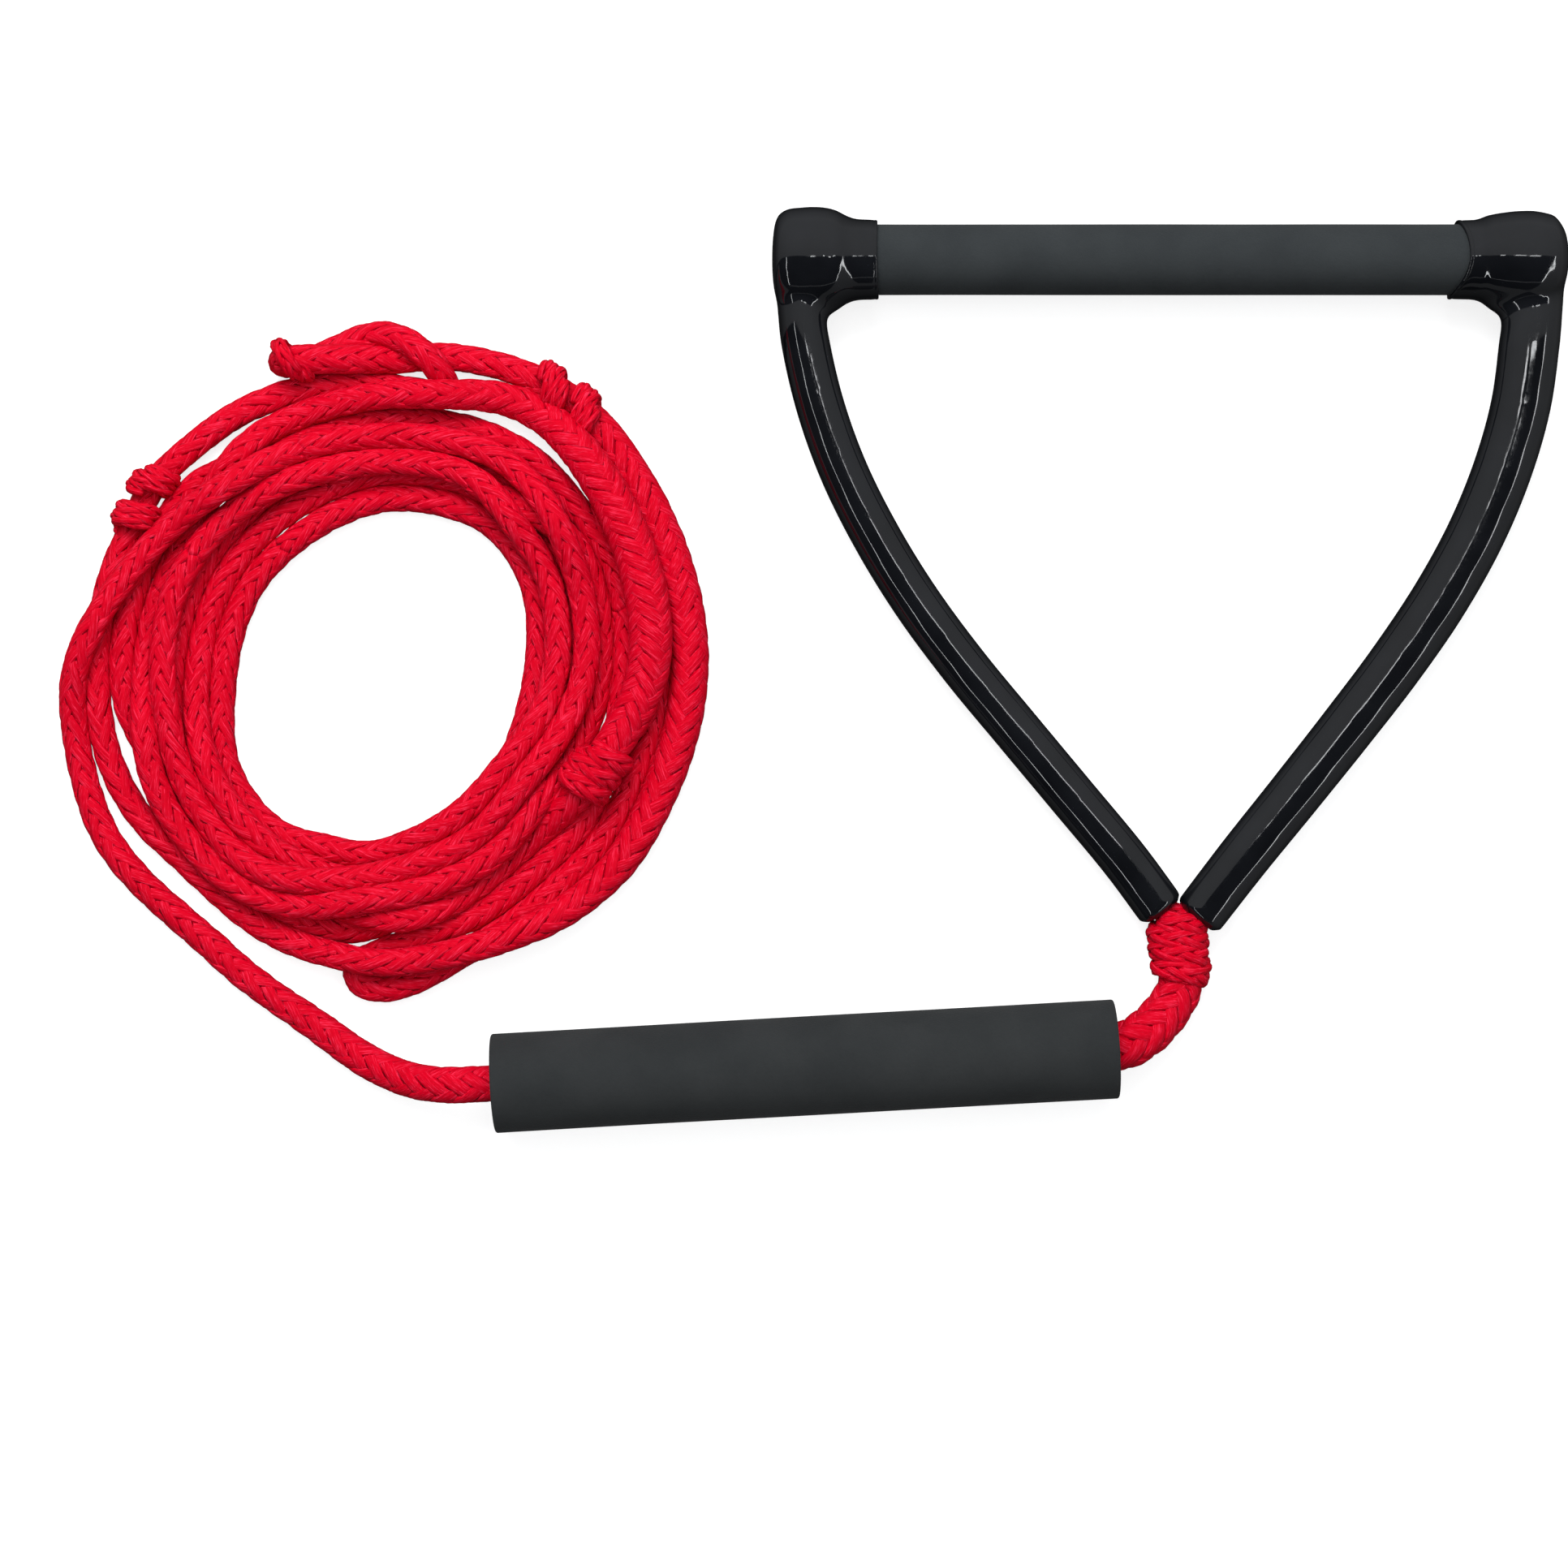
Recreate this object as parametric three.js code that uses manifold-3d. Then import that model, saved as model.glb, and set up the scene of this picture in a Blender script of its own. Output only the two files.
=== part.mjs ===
// A tow rope handle for water sports, lying on the ground with its rope coiled beside it.
//
// A foam-covered aluminium tube is the grip. One bridle rope runs through the tube and down two dipped
// vinyl covers, which meet at a knot. Under the knot a thick spliced lead rope goes through a foam float,
// and the main rope leaves the float's other end and ends in a coil.
//
// Millimetres, +Z up. The origin is under the middle of the handle, on the ground. The grip lies along X,
// and the knot is on the -Y side.

import * as THREE from "three";
import { mergeVertices } from "three/addons/utils/BufferGeometryUtils.js";
import Module from "manifold-3d";

const wasm = await Module();
wasm.setup();

// ---- Driving dimensions ----

const HANDLE_WIDTH = 305;
const HANDLE_LENGTH = 295.5;
const SOLID_GAP = 0.35;

const GRIP_DIAMETER = 27;
const GRIP_HALF_LENGTH = 122;
const GRIP_Y = 127.75;
const GRIP_Z = 17.5;

const TUBE_RADIUS = 11;
const TUBE_WALL = 1.6;
const TUBE_HALF_LENGTH = 126;

const PLUG_INSERT_LENGTH = 18;
const PLUG_FLANGE_THICKNESS = 4;
const PLUG_BORE_RADIUS = 5.4;

const COLLAR_MOUTH = 112.5;
const COLLAR_RADIUS = 15;
const CAP_HALF_HEIGHT = 17.5;
const CAP_BULGE_START = 124;
const CAP_BULGE_FULL = 133;
const CAP_DOME_START = 142;

// The webbing of vinyl inside the bend between the grip and each arm.
const WEB_RADIUS = 8;
const WEB_FROM_END = 20.5;
const WEB_BELOW_GRIP = 15.5;

const BRIDLE_RADIUS = 4;
const BRIDLE_CHANNEL_RADIUS = 4.6;
const BRIDLE_STEPS = 78;
const BRIDLE_SIDES = 8;

const KNOT_X = 4.4;
const KNOT_RADIUS = 11.6;
const KNOT_HALF_HEIGHT = 10;
const KNOT_END_Y = -HANDLE_LENGTH / 2;

const EYE_RADIUS = 8;
const EYE_CENTRE = new THREE.Vector3(4.7, KNOT_END_Y - 3, 10);

const LEAD_DIAMETER = 17.5;
const ROPE_DIAMETER = 13;

const FLOAT_DIAMETER = 38;
const FLOAT_BORE = 21;
const FLOAT_RIGHT = new THREE.Vector3(-20.6, -175.5, FLOAT_DIAMETER / 2);
const FLOAT_LEFT = new THREE.Vector3(-259.7, -188.8, FLOAT_DIAMETER / 2);
const LEAD_END_IN_FLOAT = 165;

const COIL_CENTRE = new THREE.Vector3(-303.1, -28.5, 0);
const COIL_OUTER_RADIUS = 124;
const COIL_INNER_RADIUS = 59;
const COIL_HEIGHT = 31;
const COIL_OVAL = 1.055;

// The two arms. Each has its own roll, so one shows the narrow side of its oval section from above.
// Points run from the cap down to the tip, as [x, y].
const ARMS = [
  {
    side: "left",
    sign: -1,
    capBulge: 20,
    halfWidth: [9.3, 9.4, 9.3],
    halfHeight: [11.4, 11, 10],
    points: [
      [-140, 96.8],
      [-134.2, 71.8],
      [-125.2, 46.8],
      [-112.7, 21.8],
      [-97.3, -3.2],
      [-78.8, -28.2],
      [-58.1, -53.2],
      [-37.2, -78.2],
      [-16.4, -103.2],
      [-2.2, -122.3],
    ],
  },
  {
    side: "right",
    sign: 1,
    capBulge: 18.7,
    halfWidth: [11.6, 11, 9.9],
    halfHeight: [9.8, 9.5, 9.3],
    points: [
      [138.6, 96.8],
      [135.3, 71.8],
      [128.3, 46.8],
      [118, 21.8],
      [104.2, -3.2],
      [87.3, -28.2],
      [68.3, -53.2],
      [48.6, -78.2],
      [28.6, -103.2],
      [11.9, -125.1],
    ],
  },
];
const ARM_TIP_Z = 10.2;
const ARM_ROOT_X = 141;

// The lead rope's centreline from the eye to the float's mouth, and the main rope's from the float's other
// end, out along the float's axis and down to the ground, to the coil.
const LEAD_ROUTE = [
  [2.3, -156.6, 10.3],
  [-1.9, -163, 11.8],
  [-8.6, -170, 15],
  [-17.6, -174.7, 18.1],
];
const TAIL_ROUTE = [
  [-279.7, -189.8, 18.8],
  [-291, -188.6, 15.4],
  [-303, -184.8, 10.6],
  [-314, -179, 7.4],
  [-325, -171, 6.8],
  [-341, -158.5, 6.8],
  [-356.6, -146.4, 6.8],
];

// ---- Solids ----

/** A manifold-3d solid from a closed three.js geometry. */
function solid(geometry) {
  const bare = geometry.clone();
  bare.deleteAttribute("normal");
  bare.deleteAttribute("uv");
  const merged = mergeVertices(bare, 1e-4);
  return new wasm.Manifold(
    new wasm.Mesh({
      numProp: 3,
      vertProperties: new Float32Array(merged.attributes.position.array),
      triVerts: new Uint32Array(merged.index.array),
    }),
  );
}

/** A three.js geometry from a manifold-3d solid. */
function geometryOf(body) {
  const mesh = body.getMesh();
  const geometry = new THREE.BufferGeometry();
  const positions = new THREE.BufferAttribute(new Float32Array(mesh.vertProperties), 3);
  geometry.setAttribute("position", positions);
  geometry.setIndex(new THREE.BufferAttribute(new Uint32Array(mesh.triVerts), 1));
  geometry.computeVertexNormals();
  return geometry;
}

/** A round tube of one radius along a smooth curve. */
function tube(curve, radius, steps, sides) {
  const section = new THREE.Shape();
  for (let i = 0; i < sides; i += 1) {
    const angle = (2 * Math.PI * i) / sides;
    const x = radius * Math.cos(angle);
    const y = radius * Math.sin(angle);
    if (i === 0) {
      section.moveTo(x, y);
    } else {
      section.lineTo(x, y);
    }
  }
  section.closePath();
  return new THREE.ExtrudeGeometry(section, { steps, bevelEnabled: false, extrudePath: curve });
}

/** A solid of revolution about X: each profile point is [x, radius]. */
function turnedAboutX(profile, segments) {
  const points = profile.map(([x, r]) => new THREE.Vector2(r, x));
  const geometry = new THREE.LatheGeometry(points, segments);
  geometry.rotateZ(-Math.PI / 2);
  return geometry;
}

/** Moves every vertex of a geometry by a function of its position. */
function reshape(geometry, change) {
  const positions = geometry.attributes.position;
  const p = new THREE.Vector3();
  for (let i = 0; i < positions.count; i += 1) {
    p.fromBufferAttribute(positions, i);
    change(p);
    positions.setXYZ(i, p.x, p.y, p.z);
  }
  return geometry;
}

/** An oval bar lofted along a curve. Stations are curve parameters; sizeAt gives [half width, half height]. */
function loft(curve, stations, sizeAt, sides) {
  const bar = new THREE.CylinderGeometry(1, 1, stations.length - 1, sides, stations.length - 1);
  const last = stations.length - 1;
  return reshape(bar, (p) => {
    const t = stations[Math.round(last / 2 - p.y)];
    const [halfWidth, halfHeight] = sizeAt(t);
    const centre = curve.getPointAt(t);
    const along = curve.getTangentAt(t);
    const across = new THREE.Vector3(-along.y, along.x, 0).normalize();
    const up = new THREE.Vector3().crossVectors(along, across).normalize();
    const x = p.x * halfWidth;
    const z = p.z * halfHeight;
    p.copy(centre).addScaledVector(across, x).addScaledVector(up, z);
  });
}

/** A smooth curve through [x, y, z] points. */
function smoothCurve(points) {
  return new THREE.CatmullRomCurve3(points.map((p) => new THREE.Vector3(...p)), false, "centripetal");
}

const byPlace = (values, t) => {
  const at = t * (values.length - 1);
  const low = Math.min(Math.floor(at), values.length - 2);
  return THREE.MathUtils.lerp(values[low], values[low + 1], at - low);
};

// ---- Routes ----

const armRoute = (arm) => {
  const down = arm.points.map(([x, y], i) => {
    const part = (i + 1) / arm.points.length;
    return [x, y, THREE.MathUtils.lerp(GRIP_Z, ARM_TIP_Z, part)];
  });
  return [[arm.sign * ARM_ROOT_X, GRIP_Y - 2, GRIP_Z], ...down];
};

/** The bridle rope's route on one side, from the middle of the grip, round the cap's bend, to its knot end. */
const bridleSide = (arm) => {
  const down = armRoute(arm).slice(1);
  const [tipX, tipY, tipZ] = down[down.length - 1];
  const [beforeX, beforeY] = down[down.length - 2];
  const step = Math.hypot(tipX - beforeX, tipY - beforeY);
  const reach = 9 / step;
  return [
    [arm.sign * 60, GRIP_Y, GRIP_Z],
    [arm.sign * 110, GRIP_Y, GRIP_Z],
    [arm.sign * 127, GRIP_Y - 0.3, GRIP_Z],
    [arm.sign * 135.5, GRIP_Y - 4.5, GRIP_Z],
    [arm.sign * 139.8, GRIP_Y - 13, GRIP_Z - 0.2],
    ...down,
    [tipX + reach * (tipX - beforeX), tipY + reach * (tipY - beforeY), tipZ],
  ];
};

const floatAxis = new THREE.Vector3().subVectors(FLOAT_LEFT, FLOAT_RIGHT);
const floatLength = floatAxis.length();
floatAxis.normalize();
const inFloat = (distance) => FLOAT_RIGHT.clone().addScaledVector(floatAxis, distance).toArray();

const bridleCurve = smoothCurve([...bridleSide(ARMS[0]).reverse(), ...bridleSide(ARMS[1])]);
const leadCurve = smoothCurve([...LEAD_ROUTE, inFloat(14), inFloat(60), inFloat(110), inFloat(LEAD_END_IN_FLOAT)]);
const tailStart = LEAD_END_IN_FLOAT + SOLID_GAP;
const tailCurve = smoothCurve([inFloat(tailStart), inFloat(205), inFloat(floatLength), ...TAIL_ROUTE]);

// ---- Pieces ----

/** The foam sleeve of the grip, on the tube. */
function gripSleeve() {
  const outer = GRIP_DIAMETER / 2;
  const bore = TUBE_RADIUS + SOLID_GAP;
  return turnedAboutX(
    [
      [-GRIP_HALF_LENGTH, bore],
      [-GRIP_HALF_LENGTH, outer],
      [GRIP_HALF_LENGTH, outer],
      [GRIP_HALF_LENGTH, bore],
      [-GRIP_HALF_LENGTH, bore],
    ],
    40,
  ).translate(0, GRIP_Y, GRIP_Z);
}

/** The aluminium tube inside the grip. */
function gripTube() {
  const bore = TUBE_RADIUS - TUBE_WALL;
  return turnedAboutX(
    [
      [-TUBE_HALF_LENGTH, bore],
      [-TUBE_HALF_LENGTH, TUBE_RADIUS],
      [TUBE_HALF_LENGTH, TUBE_RADIUS],
      [TUBE_HALF_LENGTH, bore],
      [-TUBE_HALF_LENGTH, bore],
    ],
    32,
  ).translate(0, GRIP_Y, GRIP_Z);
}

/** The flanged bush in one end of the tube. Its rounded mouth keeps the rope off the tube's cut edge. */
function endPlug(sign) {
  const stem = TUBE_RADIUS - TUBE_WALL - SOLID_GAP;
  const flangeIn = TUBE_HALF_LENGTH + SOLID_GAP;
  const flangeOut = flangeIn + PLUG_FLANGE_THICKNESS;
  const flared = PLUG_BORE_RADIUS + 2;
  const profile = [
    [TUBE_HALF_LENGTH - PLUG_INSERT_LENGTH, PLUG_BORE_RADIUS],
    [TUBE_HALF_LENGTH - PLUG_INSERT_LENGTH, stem],
    [flangeIn, stem],
    [flangeIn, TUBE_RADIUS],
    [flangeOut, TUBE_RADIUS],
    [flangeOut, flared],
    [flangeOut - 1.5, PLUG_BORE_RADIUS + 0.6],
    [flangeOut - PLUG_FLANGE_THICKNESS, PLUG_BORE_RADIUS],
    [TUBE_HALF_LENGTH - PLUG_INSERT_LENGTH, PLUG_BORE_RADIUS],
  ];
  const bush = turnedAboutX(profile, 28);
  if (sign < 0) {
    bush.rotateZ(Math.PI);
  }
  return bush.translate(0, GRIP_Y, GRIP_Z);
}

/** The outside of one cap: a collar on the foam, a bulge round the rope's bend, and a domed end. */
function capOutside(arm) {
  const bulge = arm.capBulge;
  const end = HANDLE_WIDTH / 2;
  const dome = end - CAP_DOME_START;
  const profile = [
    [COLLAR_MOUTH, 0],
    [COLLAR_MOUTH, COLLAR_RADIUS],
    [CAP_BULGE_START - 3, COLLAR_RADIUS + 0.3],
    [CAP_BULGE_START, COLLAR_RADIUS + 1],
    [(CAP_BULGE_START + CAP_BULGE_FULL) / 2, bulge - 1.6],
    [CAP_BULGE_FULL, bulge - 0.2],
    [CAP_DOME_START - 3, bulge],
  ];
  for (let i = 1; i <= 6; i += 1) {
    const angle = (i / 6) * (Math.PI / 2);
    const radius = i === 6 ? 0 : bulge * Math.cos(angle) ** 0.75;
    profile.push([CAP_DOME_START + dome * Math.sin(angle), radius]);
  }
  const cap = turnedAboutX(profile, 32);
  if (arm.sign < 0) {
    cap.rotateZ(Math.PI);
  }
  reshape(cap, (p) => {
    const part = THREE.MathUtils.smoothstep(Math.abs(p.x), CAP_BULGE_START - 4, CAP_BULGE_FULL);
    p.z *= THREE.MathUtils.lerp(1, CAP_HALF_HEIGHT / bulge, part);
  });
  return cap.translate(0, GRIP_Y, GRIP_Z);
}

/** The cavity of one cap: it fits the foam's end, the tube's end and the plug's flange. */
function capInside(arm) {
  const overSleeve = GRIP_DIAMETER / 2 + SOLID_GAP;
  const overTube = TUBE_RADIUS + SOLID_GAP;
  const sleeveEnd = GRIP_HALF_LENGTH + SOLID_GAP;
  const plugEnd = TUBE_HALF_LENGTH + PLUG_FLANGE_THICKNESS + 2 * SOLID_GAP;
  const profile = [
    [COLLAR_MOUTH - 5, 0],
    [COLLAR_MOUTH - 5, overSleeve],
    [sleeveEnd, overSleeve],
    [sleeveEnd, overTube],
    [plugEnd, overTube],
    [plugEnd, 0],
  ];
  const cavity = turnedAboutX(profile, 40);
  if (arm.sign < 0) {
    cavity.rotateZ(Math.PI);
  }
  return cavity.translate(0, GRIP_Y, GRIP_Z);
}

/** One dipped vinyl cover: cap, collar and arm in one skin, hollow for the grip's end and the bridle rope. */
function armCover(arm) {
  const curve = smoothCurve(armRoute(arm));
  const tipStart = 0.975;
  const stations = [];
  for (let i = 0; i <= 18; i += 1) {
    stations.push((i / 18) * tipStart);
  }
  stations.push((tipStart + 1) / 2, 1);
  const sizeAt = (t) => {
    const rounding = t > tipStart ? 1 - 0.32 * ((t - tipStart) / (1 - tipStart)) ** 1.6 : 1;
    return [byPlace(arm.halfWidth, t) * rounding, byPlace(arm.halfHeight, t) * rounding];
  };
  const shaft = solid(loft(curve, stations, sizeAt, 22));
  const webX = arm.sign * (HANDLE_WIDTH / 2 - WEB_FROM_END);
  const ball = new THREE.SphereGeometry(WEB_RADIUS, 16, 10);
  const web = solid(ball.translate(webX, GRIP_Y - WEB_BELOW_GRIP, GRIP_Z));
  const channel = solid(tube(bridleCurve, BRIDLE_CHANNEL_RADIUS, BRIDLE_STEPS, BRIDLE_SIDES));
  const outside = solid(capOutside(arm)).add(shaft).add(web);
  return geometryOf(outside.subtract(solid(capInside(arm))).subtract(channel));
}

/** The knot's outline, larger all round by a margin. */
function knotOutline(margin) {
  const profile = [
    [0, -127.4 + margin],
    [6.4, -128.6 + margin],
    [9.6, -131.2 + margin * 0.7],
    [11.3, -135],
    [KNOT_RADIUS, -140],
    [11, -145],
    [9.8, KNOT_END_Y],
    [0, KNOT_END_Y],
  ].reverse();
  const points = profile.map(([r, y]) => new THREE.Vector2(r > 0 ? r + margin : 0, y));
  const knot = new THREE.LatheGeometry(points, 28);
  const widest = KNOT_RADIUS + margin;
  return knot.scale(1, 1, (KNOT_HALF_HEIGHT + margin) / widest).translate(KNOT_X, 0, KNOT_HALF_HEIGHT);
}

function eyeBall(margin) {
  const { x, y, z } = EYE_CENTRE;
  return new THREE.SphereGeometry(EYE_RADIUS + margin, 24, 16).translate(x, y, z);
}

/** The knot that ties the bridle round the lead's eye, with a round seat for the eye. */
function bridleKnot() {
  return geometryOf(solid(knotOutline(0)).subtract(solid(eyeBall(2 * SOLID_GAP))));
}

/** The bridle: one rope through both covers and the grip, both ends running into the knot. */
function bridleRope() {
  const whole = solid(tube(bridleCurve, BRIDLE_RADIUS, BRIDLE_STEPS, BRIDLE_SIDES));
  return geometryOf(whole.subtract(solid(knotOutline(SOLID_GAP))));
}

/** The thick spliced rope from the eye to the inside of the float. */
function leadRope() {
  return geometryOf(solid(tube(leadCurve, LEAD_DIAMETER / 2, 16, 12)).subtract(solid(eyeBall(SOLID_GAP))));
}

/** The foam float, which slides on the rope. */
function float() {
  const outer = FLOAT_DIAMETER / 2;
  const bore = FLOAT_BORE / 2;
  const half = floatLength / 2;
  const middle = FLOAT_LEFT.clone().add(FLOAT_RIGHT).multiplyScalar(0.5);
  const tilt = Math.atan2(-floatAxis.y, -floatAxis.x);
  const body = turnedAboutX(
    [
      [-half, bore],
      [-half, outer],
      [half, outer],
      [half, bore],
      [-half, bore],
    ],
    36,
  );
  return body.rotateZ(tilt).translate(middle.x, middle.y, middle.z);
}

/** The coil's envelope: a ring that the rope's turns fill, flat underneath. */
function coilRing(margin) {
  const inner = COIL_INNER_RADIUS - margin;
  const outer = COIL_OUTER_RADIUS + margin;
  const top = COIL_HEIGHT + margin;
  const middle = (inner + outer) / 2;
  const points = [
    [inner + 1, -margin],
    [outer - 2, -margin],
    [outer, 6],
    [outer - 1, 15],
    [outer - 7, top * 0.72],
    [middle + 14, top],
    [middle - 12, top],
    [inner + 5, top * 0.7],
    [inner, 12],
    [inner + 1, -margin],
  ].map(([r, z]) => new THREE.Vector2(r, z));
  const ring = new THREE.LatheGeometry(points, 44);
  ring.rotateX(Math.PI / 2);
  return ring.scale(1, COIL_OVAL, 1).translate(COIL_CENTRE.x, COIL_CENTRE.y, 0);
}

/** The main rope from inside the float, along the ground, to the coil. */
function ropeTail() {
  return geometryOf(solid(tube(tailCurve, ROPE_DIAMETER / 2, 16, 12)).subtract(solid(coilRing(SOLID_GAP))));
}

// ---- Assembly ----

const foam = { color: 0x34383a, roughness: 0.85, metalness: 0 };
const vinyl = { color: 0x0b0c0e, roughness: 0.12, metalness: 0 };
const rope = { color: 0xd80a2a, roughness: 0.55, metalness: 0 };
const metal = { color: 0xb9bcc0, roughness: 0.4, metalness: 1 };
const nylon = { color: 0x1a1b1d, roughness: 0.5, metalness: 0 };

const towHandle = new THREE.Group();

function addPiece(name, geometry, look) {
  const mesh = new THREE.Mesh(geometry, new THREE.MeshStandardMaterial(look));
  mesh.name = name;
  towHandle.add(mesh);
}

addPiece("grip_sleeve", gripSleeve(), foam);
addPiece("grip_tube", gripTube(), metal);
for (const arm of ARMS) {
  addPiece(`${arm.side}_end_plug`, endPlug(arm.sign), nylon);
  addPiece(`${arm.side}_arm_cover`, armCover(arm), vinyl);
}
addPiece("bridle_rope", bridleRope(), rope);
addPiece("bridle_knot", bridleKnot(), rope);
addPiece("lead_eye", geometryOf(solid(eyeBall(0))), rope);
addPiece("lead_rope", leadRope(), rope);
addPiece("float", float(), foam);
addPiece("rope_tail", ropeTail(), rope);
addPiece("rope_coil", coilRing(0), rope);

export default towHandle;
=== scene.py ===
"""Looks for a tow rope handle: foam grip, dipped vinyl arms, foam float and a coiled braided rope.

Lengths are millimetres up to the point where a mesh is made, and metres after it.
"""

import math

import bpy
import numpy as np
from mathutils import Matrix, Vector


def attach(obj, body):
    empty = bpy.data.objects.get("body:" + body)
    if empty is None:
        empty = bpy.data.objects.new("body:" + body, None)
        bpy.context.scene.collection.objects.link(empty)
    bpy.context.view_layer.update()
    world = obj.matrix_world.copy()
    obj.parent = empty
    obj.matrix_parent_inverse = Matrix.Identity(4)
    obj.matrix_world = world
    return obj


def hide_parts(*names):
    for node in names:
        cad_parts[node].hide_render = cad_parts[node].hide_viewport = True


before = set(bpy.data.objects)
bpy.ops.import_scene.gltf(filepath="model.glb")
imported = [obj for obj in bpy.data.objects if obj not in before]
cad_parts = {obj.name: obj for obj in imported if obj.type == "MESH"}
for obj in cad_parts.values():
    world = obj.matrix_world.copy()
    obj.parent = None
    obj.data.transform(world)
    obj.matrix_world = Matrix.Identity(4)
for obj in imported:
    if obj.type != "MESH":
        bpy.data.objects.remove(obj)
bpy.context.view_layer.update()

MM = 0.001

# ---- Camera: straight down, with a long lens ----

VIEW_CENTRE = (-0.1481, -0.0738)
CAMERA_HEIGHT = 1.441

camera = bpy.data.objects.new("camera", bpy.data.cameras.new("camera"))
camera.data.lens = 85
camera.data.sensor_width = 36
camera.data.clip_end = 40
camera.location = (*VIEW_CENTRE, CAMERA_HEIGHT)
bpy.context.scene.collection.objects.link(camera)
bpy.context.scene.camera = camera


# ---- Small maths ----

def unit(v):
    return v / np.maximum(np.linalg.norm(v, axis=-1, keepdims=True), 1e-12)


def along(path):
    """The distance from the path's start to each of its points."""
    return np.concatenate([[0], np.cumsum(np.linalg.norm(np.diff(path[:, :3], axis=0), axis=1))])


def spline(points, step):
    """A Catmull-Rom curve through the points, which may carry more columns than x, y, z, at an even step."""
    p = np.asarray(points, float)
    p = np.vstack([2 * p[0] - p[1], p, 2 * p[-1] - p[-2]])
    knots = np.concatenate([[0], np.cumsum(np.linalg.norm(np.diff(p[:, :3], axis=0), axis=1) ** 0.5)])
    fine = []
    for i in range(1, len(p) - 2):
        t0, t1, t2, t3 = knots[i - 1:i + 3]
        t = np.linspace(t1, t2, 24, endpoint=False)[:, None]
        a1 = (t1 - t) / (t1 - t0) * p[i - 1] + (t - t0) / (t1 - t0) * p[i]
        a2 = (t2 - t) / (t2 - t1) * p[i] + (t - t1) / (t2 - t1) * p[i + 1]
        a3 = (t3 - t) / (t3 - t2) * p[i + 1] + (t - t2) / (t3 - t2) * p[i + 2]
        b1 = (t2 - t) / (t2 - t0) * a1 + (t - t0) / (t2 - t0) * a2
        b2 = (t3 - t) / (t3 - t1) * a2 + (t - t1) / (t3 - t1) * a3
        fine.append((t2 - t) / (t2 - t1) * b1 + (t - t1) / (t2 - t1) * b2)
    fine.append(p[-2:-1])
    return even(np.vstack(fine), step)


def even(path, step):
    """The path again with points about a step apart."""
    s = along(path)
    at = np.linspace(0, s[-1], max(3, round(s[-1] / step) + 1))
    return np.column_stack([np.interp(at, s, path[:, k]) for k in range(path.shape[1])])


def softened(values, rounds, share=0.5):
    """Each value moved towards the mean of its neighbours, some rounds over, with both ends held."""
    v = values.copy()
    for _ in range(rounds):
        v[1:-1] += share * ((v[:-2] + v[2:]) / 2 - v[1:-1])
    return v


# ---- Mesh making ----

def new_object(name, verts, faces, material, body, attributes=None):
    """A mesh object from points in millimetres, riding on a body and given a material.

    Quads are smooth. The faces that close a tube's ends are flat, so that they don't darken its rim.
    """
    mesh = bpy.data.meshes.new(name)
    mesh.from_pydata((np.asarray(verts) * MM).tolist(), [], faces)
    for key, values in (attributes or {}).items():
        layer = mesh.attributes.new(key, "FLOAT_VECTOR", "POINT")
        layer.data.foreach_set("vector", np.asarray(values, np.float32).ravel())
    mesh.polygons.foreach_set("use_smooth", [len(f) == 4 for f in faces])
    mesh.materials.append(material)
    obj = bpy.data.objects.new(name, mesh)
    bpy.context.scene.collection.objects.link(obj)
    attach(obj, body)
    return obj


def strip_faces(rings, around):
    """Quads of a tube of rings of the same number of points, and its two end faces."""
    base = np.arange(rings - 1)[:, None] * around + np.arange(around)
    nxt = np.arange(rings - 1)[:, None] * around + (np.arange(around) + 1) % around
    quads = np.stack([base, nxt, nxt + around, base + around], axis=-1).reshape(-1, 4)
    last = (rings - 1) * around
    return quads.tolist(), [list(range(around))[::-1], list(range(last, last + around))]


def directions(path):
    """Tangent, side and up of each point. Up leans as little from the vertical as it can."""
    tangent = unit(np.gradient(path[:, :3], axis=0))
    side = unit(np.cross(tangent, [0, 0, 1.0]))
    return tangent, side, np.cross(side, tangent)


# A strand's section: across from -1 to 1, and out from the rope's surface.
RIBBON_ACROSS = np.array([-1, -0.62, 0, 0.62, 1, 0])
RIBBON_OUT = np.array([0.05, 0.78, 1, 0.78, 0.05, -0.6])
STRANDS = 12
CORE_SIDES = 10


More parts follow.
